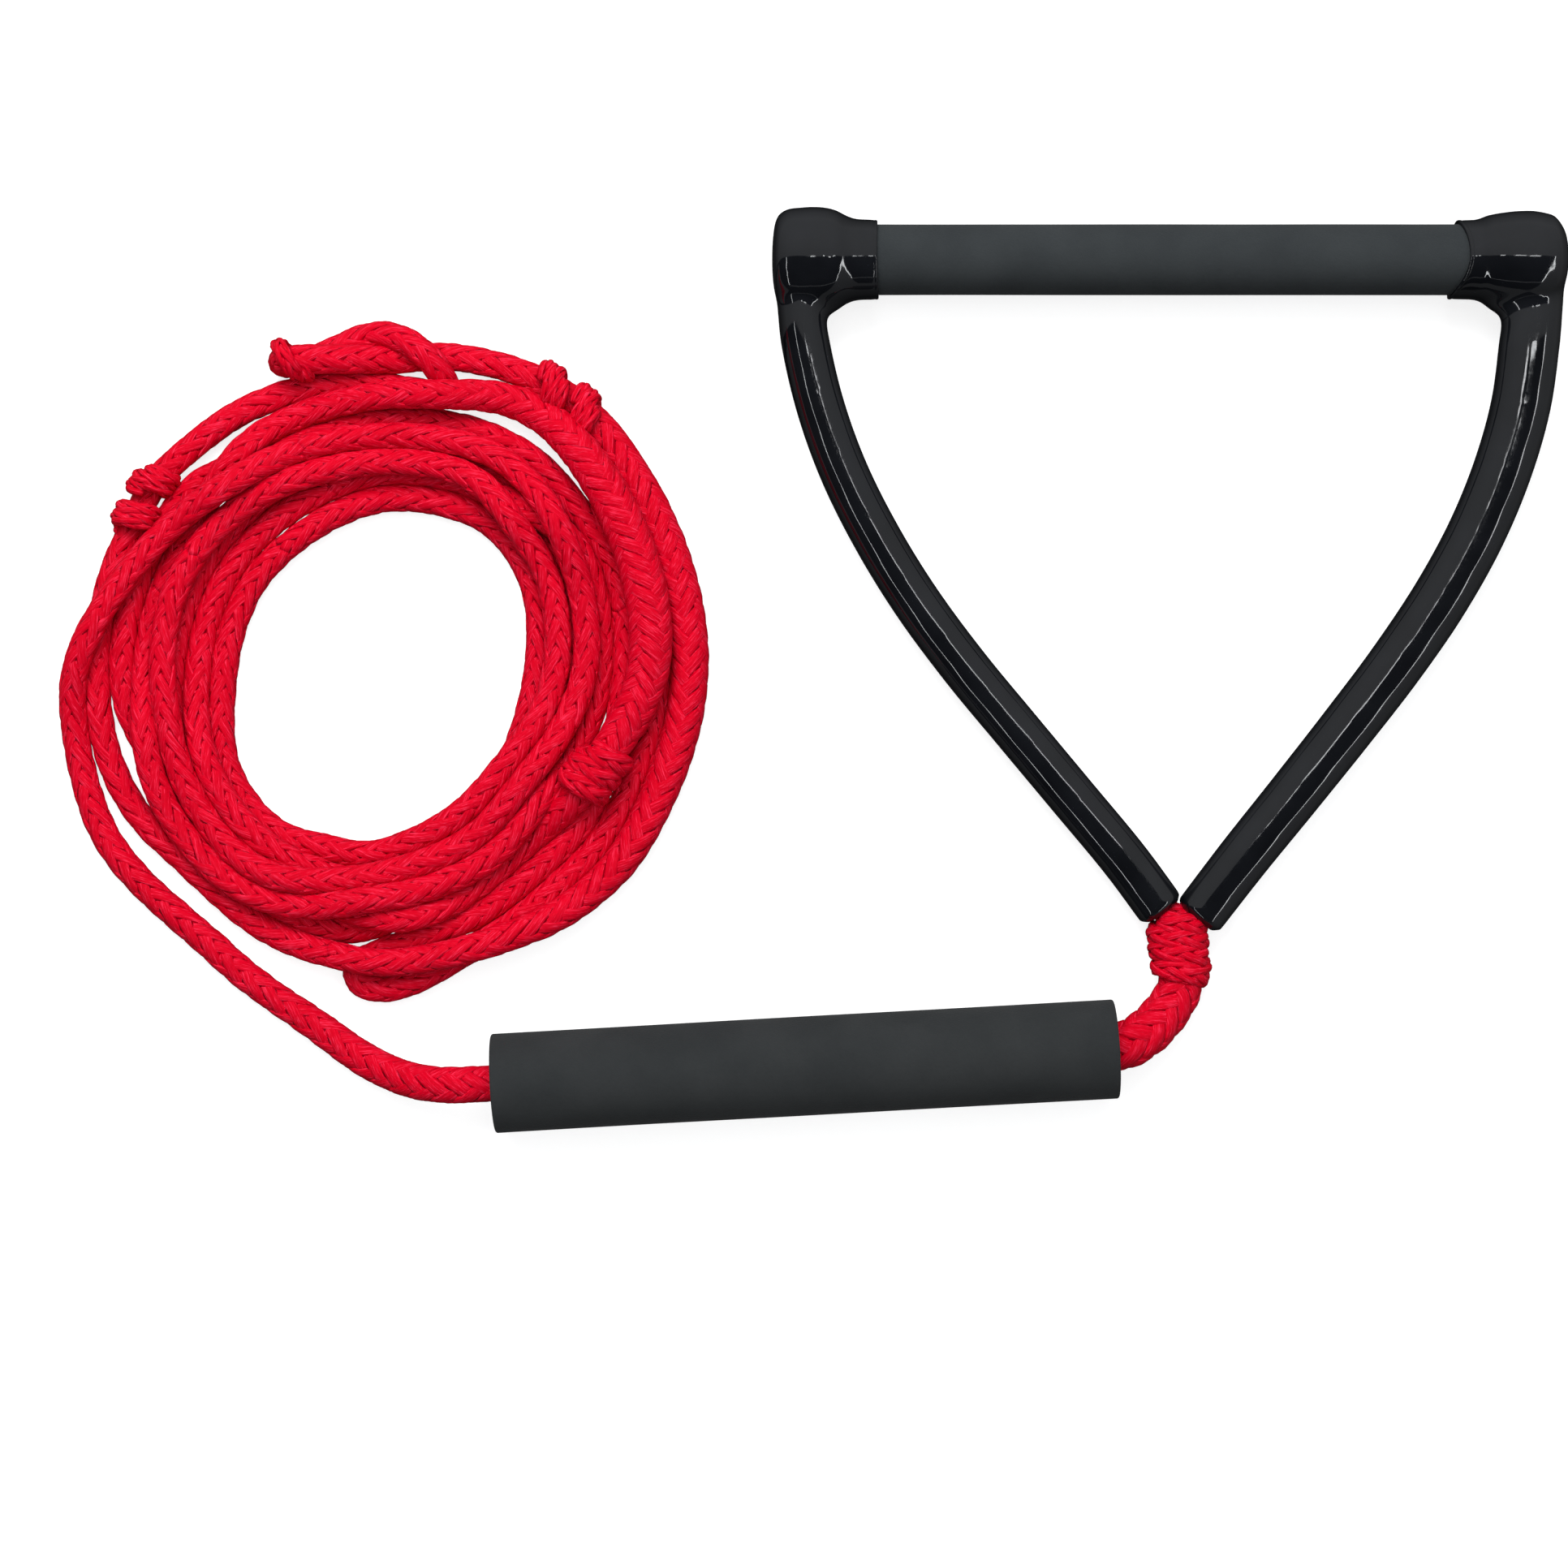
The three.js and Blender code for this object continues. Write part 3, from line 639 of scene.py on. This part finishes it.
def arm_points(points):
    """The arm's middle line, which falls evenly from the grip's height to the tip's."""
    s = np.linspace(0, 1, len(points))
    return [(x, y, GRIP_Z + (TIP_Z - GRIP_Z) * t) for (x, y), t in zip(points, s)]


def turned(profile, sides, place, axis=(1.0, 0, 0), squash=None):
    """Points of a profile of (along, radius) pairs turned about an axis through a place, ring by ring.

    squash gives the height's share of the radius at a distance along.
    """
    axis = unit(np.asarray(axis, float))
    across = unit(np.cross(axis, [0, 0, 1.0]))
    up = np.cross(across, axis)
    theta = np.arange(sides) * 2 * np.pi / sides
    rings = []
    for run, radius in profile:
        high = radius * (squash(abs(run)) if squash else 1)
        rings.append(np.asarray(place) + run * axis + (radius * np.cos(theta))[:, None] * across
                     + (high * np.sin(theta))[:, None] * up)
    return np.vstack(rings)


def shell(rings, around, closed_ends=True):
    """Faces of a stack of rings."""
    quads, ends = strip_faces(rings, around)
    return quads + (ends if closed_ends else [])


def rounded_profile(points, step=0.8):
    """A profile with a smooth curve through its points, none of them on the axis."""
    p = spline([(x, r, 0) for x, r in points], step)
    return [(x, max(r, 0.02)) for x, r, _ in p]


def smoothed(obj, rounds, weight=None, keep=True):
    """Laplacian smoothing of the object's points, in rounds. keep makes every other round push back out."""
    mesh = obj.data
    co = np.empty(len(mesh.vertices) * 3)
    mesh.vertices.foreach_get("co", co)
    co = co.reshape(-1, 3)
    edges = np.empty(len(mesh.edges) * 2, int)
    mesh.edges.foreach_get("vertices", edges)
    a, b = edges.reshape(-1, 2).T
    count = np.bincount(a, minlength=len(co)) + np.bincount(b, minlength=len(co))
    share = np.ones(len(co)) if weight is None else weight(co / MM)
    for k in range(rounds):
        mean = np.stack([np.bincount(a, co[b, i], len(co)) + np.bincount(b, co[a, i], len(co))
                         for i in range(3)], axis=1)
        mean /= np.maximum(count, 1)[:, None]
        factor = -0.53 if keep and k % 2 else 0.5
        co += factor * share[:, None] * (mean - co)
    mesh.vertices.foreach_set("co", co.ravel())
    mesh.update()


def remeshed(obj, voxel):
    """The object's overlapping closed parts as one skin."""
    modifier = obj.modifiers.new("skin", "REMESH")
    modifier.mode = "VOXEL"
    modifier.voxel_size = voxel * MM
    graph = bpy.context.evaluated_depsgraph_get()
    mesh = bpy.data.meshes.new_from_object(obj.evaluated_get(graph))
    obj.modifiers.clear()
    old = obj.data
    obj.data = mesh
    bpy.data.meshes.remove(old)
    mesh.polygons.foreach_set("use_smooth", [True] * len(mesh.polygons))


def slanted(points, arm, share):
    """Points of a cover's mouth moved along the grip, outwards at the top and inwards at the -Y side."""
    back, top = (points[:, 1] - GRIP_Y) / 15, (points[:, 2] - GRIP_Z) / 15
    moved = points.copy()
    moved[:, 0] += arm["sign"] * arm["slant"] * share * (np.clip(top, 0, 1) ** 2 - np.clip(-back, 0, 1) ** 2)
    return moved


def cover(side, arm):
    """One dipped cover: cap, collar and arm joined into one smooth skin."""
    sign = arm["sign"]
    # The collar and cap, turned about the grip's axis. The cap is squashed to its height.
    cap = rounded_profile(arm["cap"])
    cap = [(cap[0][0], 0.02)] + cap
    bulge = max(r for _, r in cap)

    def squash(run):
        return 1 - (1 - CAP_HEIGHT / bulge) * float(np.clip((run - 120) / 13, 0, 1))

    verts = [turned([(sign * x, r) for x, r in cap], CAP_SIDES, (0, GRIP_Y, GRIP_Z), squash=squash)]
    verts[0] = slanted(verts[0], arm, np.clip((119 - np.abs(verts[0][:, 0])) / 8, 0, 1))
    faces = shell(len(cap), CAP_SIDES)
    if sign < 0:
        faces = [f[::-1] for f in faces]
    # The arm, an oval tube whose tip is rounded in.
    route = [*((sign * x, GRIP_Y - y, GRIP_Z) for x, y in arm["root"]), *arm_points(arm["points"])]
    path = spline(route, 2.2)
    s = along(path) / along(path)[-1]
    shape = [np.interp(s, (0, 0.5, 1), arm[key]) for key in ("wide", "high")]
    left = along(path)[-1] * (1 - s)
    ending = np.where(left < 3.2, 0.74 + 0.26 * np.sqrt(np.clip(1 - ((3.2 - left) / 3.2) ** 2, 0, 1)), 1)
    tangent, across, up = directions(path)
    theta = np.arange(ARM_SIDES) * 2 * np.pi / ARM_SIDES
    c, z = np.cos(theta), np.sin(theta)
    c, z = np.sign(c) * np.abs(c) ** 0.88, np.sign(z) * np.abs(z) ** 0.88
    ring = path[:, None] + ((shape[0] * ending)[:, None] * c)[..., None] * across[:, None] \
        + ((shape[1] * ending)[:, None] * z)[..., None] * up[:, None]
    base = len(verts[0])
    verts.append(ring.reshape(-1, 3))
    faces += [[i + base for i in f] for f in shell(len(path), ARM_SIDES)]
    base += len(verts[1])
    # The web in the inner corner.
    web = [(7.2 * math.cos(t), 7.2 * math.sin(t) + 0.01) for t in np.linspace(math.pi, 0, 13)]
    verts.append(turned(web, WEB_SIDES, (sign * arm["web"], GRIP_Y - 14.0, GRIP_Z)))
    faces += [[i + base for i in f] for f in shell(len(web), WEB_SIDES)]
    obj = new_object(f"{side}_cover_skin", np.vstack(verts), faces, vinyl_look, "handle")
    # One skin, smoothed most in the inner and the outer corner.
    remeshed(obj, 0.85)
    corner = np.array([sign * 130.0, GRIP_Y - 17, GRIP_Z])
    smoothed(obj, 60, lambda p: np.clip(1.6 - np.linalg.norm((p - corner) / (1, 1, 1.2), axis=1) / 10, 0, 1),
             keep=False)
    outer = np.array([sign * 150.5, GRIP_Y - 17, GRIP_Z])
    smoothed(obj, 40, lambda p: np.clip(1.6 - np.linalg.norm(p - outer, axis=1) / 9, 0, 1), keep=False)
    smoothed(obj, 24)
    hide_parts(f"{side}_arm_cover")
    # The rolled lip round the collar's mouth.
    mouth = arm["cap"][0][0]
    lip = [(sign * (mouth + 0.5 - 0.8 * math.cos(t)), 14.75 + 0.42 * math.sin(t))
           for t in np.linspace(0, 2 * math.pi, 17)]
    ring = slanted(turned(lip, LIP_SIDES, (0, GRIP_Y, GRIP_Z)), arm, 1)
    faces = shell(len(lip), LIP_SIDES, False)
    faces = faces if sign > 0 else [f[::-1] for f in faces]
    new_object(f"{side}_cover_lip", ring, faces, vinyl_look, "handle")


for side, arm in ARMS.items():
    cover(side, arm)

# The bridle, from the knot up one arm, through the grip's tube and down the other.
halves = []
for arm in ARMS.values():
    sign = arm["sign"]
    grip_part = [(sign * 60, GRIP_Y, GRIP_Z), (sign * 110, GRIP_Y, GRIP_Z),
                 (sign * 127, GRIP_Y - 0.3, GRIP_Z), (sign * 135.5, GRIP_Y - 4.5, GRIP_Z),
                 (sign * 139.8, GRIP_Y - 13, GRIP_Z)]
    tip = (0.6, -126.0, 10.4) if sign < 0 else (8.6, -129.0, 10.4)
    halves.append(grip_part + arm_points(arm["points"]) + [tip, (4.0 + sign * 0.8, -134.0, 10.3)])
bridle_path = spline(halves[0][::-1] + halves[1], 2.2)
bridle = braid("bridle_rope_braid", bridle_path, 4.2, 4.0, 44, "handle", seed=35, thickness=0.5,
               crossing=0.26)
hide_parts("bridle_rope")


# ---- Foam ----

def foam_tube(name, place, axis, length, outer, bore, edge, look, sides=96, seed=0):
    """A cut length of foam tube with slightly softened rims and a skin that isn't quite even."""
    half = length / 2
    run = np.linspace(-half + edge, half - edge, int(length / 2.5))
    left = [(-half + edge * (1 - math.cos(t)), outer - edge * (1 - math.sin(t)))
            for t in np.linspace(0, math.pi / 2, 6)]
    right = [(-x, r) for x, r in left[::-1]]
    inner = [(half - 0.4, bore), (half - 1.5, bore - 0.3), (-half + 1.5, bore - 0.3), (-half + 0.4, bore)]
    profile = left + [(x, outer) for x in run[1:-1]] + right + inner
    verts = turned(profile, sides, place, axis)
    rng = np.random.default_rng(seed)
    waves = rng.normal(0, 1, (14, 3)) * (0.03, 0.09, 0.09)
    phase = rng.uniform(0, 6.28, 14)
    bumpy = sum(np.sin(verts @ w + p) for w, p in zip(waves, phase)) / 14
    axis = unit(np.asarray(axis, float))
    middle = np.asarray(place) + ((verts - place) @ axis)[:, None] * axis
    verts = middle + (verts - middle) * (1 + 0.010 * bumpy)[:, None]
    rings = len(profile)
    base = np.arange(rings)[:, None] * sides + np.arange(sides)
    nxt = np.arange(rings)[:, None] * sides + (np.arange(sides) + 1) % sides
    quads = np.stack([base, nxt, np.roll(nxt, -1, axis=0), np.roll(base, -1, axis=0)], axis=-1).reshape(-1, 4)
    return new_object(name, verts, quads.tolist(), look, "handle" if "grip" in name else "float")


grip = foam_tube("grip_foam", (0, GRIP_Y, GRIP_Z), (1.0, 0, 0), 242, 13.5, 11.6, 0.4, grip_look, seed=3)
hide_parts("grip_sleeve")
float_tube = foam_tube("float_foam", (FLOAT_LEFT + FLOAT_RIGHT) / 2, FLOAT_AXIS, FLOAT_LENGTH, 19.0, 10.6,
                       0.9, float_look, seed=5)
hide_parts("float")

for node, look in (("grip_tube", metal_material()), ("left_end_plug", None), ("right_end_plug", None)):
    look = look or bpy.data.materials.get("plug_nylon") or nylon_material()
    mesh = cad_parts[node].data
    mesh.materials.clear()
    mesh.materials.append(look)


# ---- Stage ----

floor_mesh = bpy.data.meshes.new("floor")
floor_mesh.from_pydata([(-15, -15, 0), (15, -15, 0), (15, 15, 0), (-15, 15, 0)], [], [(0, 1, 2, 3)])
floor = bpy.data.objects.new("floor", floor_mesh)
bpy.context.scene.collection.objects.link(floor)
floor.visible_glossy = False
floor.visible_diffuse = False
floor_look = material("floor_white", (0.38, 0.38, 0.38), 0.8, Specular_IOR_Level=0.1,
                      Emission_Color=(1, 1, 1, 1), Emission_Strength=0.78)
floor_mesh.materials.append(floor_look)

# A light tent: pale walls, a dark opening on the -Y side of the zenith, and thin bright strips round it.
world = bpy.data.worlds.new("world")
bpy.context.scene.world = world
world.use_nodes = True
tree = world.node_tree
background = tree.nodes["Background"]
background.inputs["Color"].default_value = (0.96, 0.98, 1, 1)


def sky(kind, *values):
    """A math node of the world, on sockets or numbers."""
    node = tree.nodes.new("ShaderNodeMath")
    node.operation = kind
    for socket, value in zip(node.inputs, values):
        if isinstance(value, bpy.types.NodeSocket):
            tree.links.new(value, socket)
        else:
            socket.default_value = value
    return node.outputs[0]


def within(value, middle, reach):
    """1 where the value is less than reach from the middle, and 0 elsewhere."""
    return sky("LESS_THAN", sky("ABSOLUTE", sky("SUBTRACT", value, middle)), reach)


split = tree.nodes.new("ShaderNodeSeparateXYZ")
tree.links.new(tree.nodes.new("ShaderNodeTexCoord").outputs["Generated"], split.inputs[0])
height = sky("MAXIMUM", split.outputs[2], 0.01)
u = sky("DIVIDE", split.outputs[0], height)
v = sky("DIVIDE", split.outputs[1], height)
EDGE, DEPTH, HALF = 0.06, 5.0, 0.8
opening = sky("MULTIPLY", within(v, (EDGE - DEPTH) / 2, (EDGE + DEPTH) / 2), sky("LESS_THAN", u, HALF))
top_strip = sky("MULTIPLY", within(v, EDGE, 0.012),
                sky("MAXIMUM", within(u, 0.215, 0.085), within(u, 0.003, 0.035)))
side_strips = sky("MULTIPLY", within(sky("ABSOLUTE", u), HALF, 0.03), within(v, -0.8, 0.86))
strips = sky("MAXIMUM", top_strip, side_strips)
far_strip = sky("MULTIPLY", within(v, -1.7, 0.05), within(u, 0, HALF))
strips = sky("MULTIPLY_ADD", far_strip, 0.05, strips)
walls = sky("MULTIPLY", sky("MULTIPLY_ADD", split.outputs[2], 0.2, 0.36),
            sky("MULTIPLY_ADD", split.outputs[1], 0.45, 1.0))
strength = sky("MULTIPLY", walls, sky("MULTIPLY_ADD", opening, -0.94, 1.0))
above = sky("MINIMUM", sky("MAXIMUM", sky("MULTIPLY_ADD", split.outputs[2], 1.1, 1.0), 0.12), 1.0)
level = sky("MULTIPLY", sky("MULTIPLY_ADD", strips, 14.0, strength), above)
tree.links.new(level, background.inputs["Strength"])
bpy.context.scene.view_settings.view_transform = "Standard"


def area(name, place, target, size, power):
    """A soft light that shows in no reflection."""
    light = bpy.data.lights.new(name, "AREA")
    light.shape = "RECTANGLE"
    light.size, light.size_y = size
    light.energy = power
    obj = bpy.data.objects.new(name, light)
    obj.location = place
    obj.rotation_euler = (Vector(target) - Vector(place)).to_track_quat("-Z", "Y").to_euler()
    obj.visible_glossy = False
    bpy.context.scene.collection.objects.link(obj)


area("key", (-0.4, 1.3, 1.6), (-0.1, 0.0, 0), (1.5, 1.0), 44)
area("fill", (-0.15, 0.2, 2.2), (-0.15, -0.05, 0), (2.0, 2.0), 17)
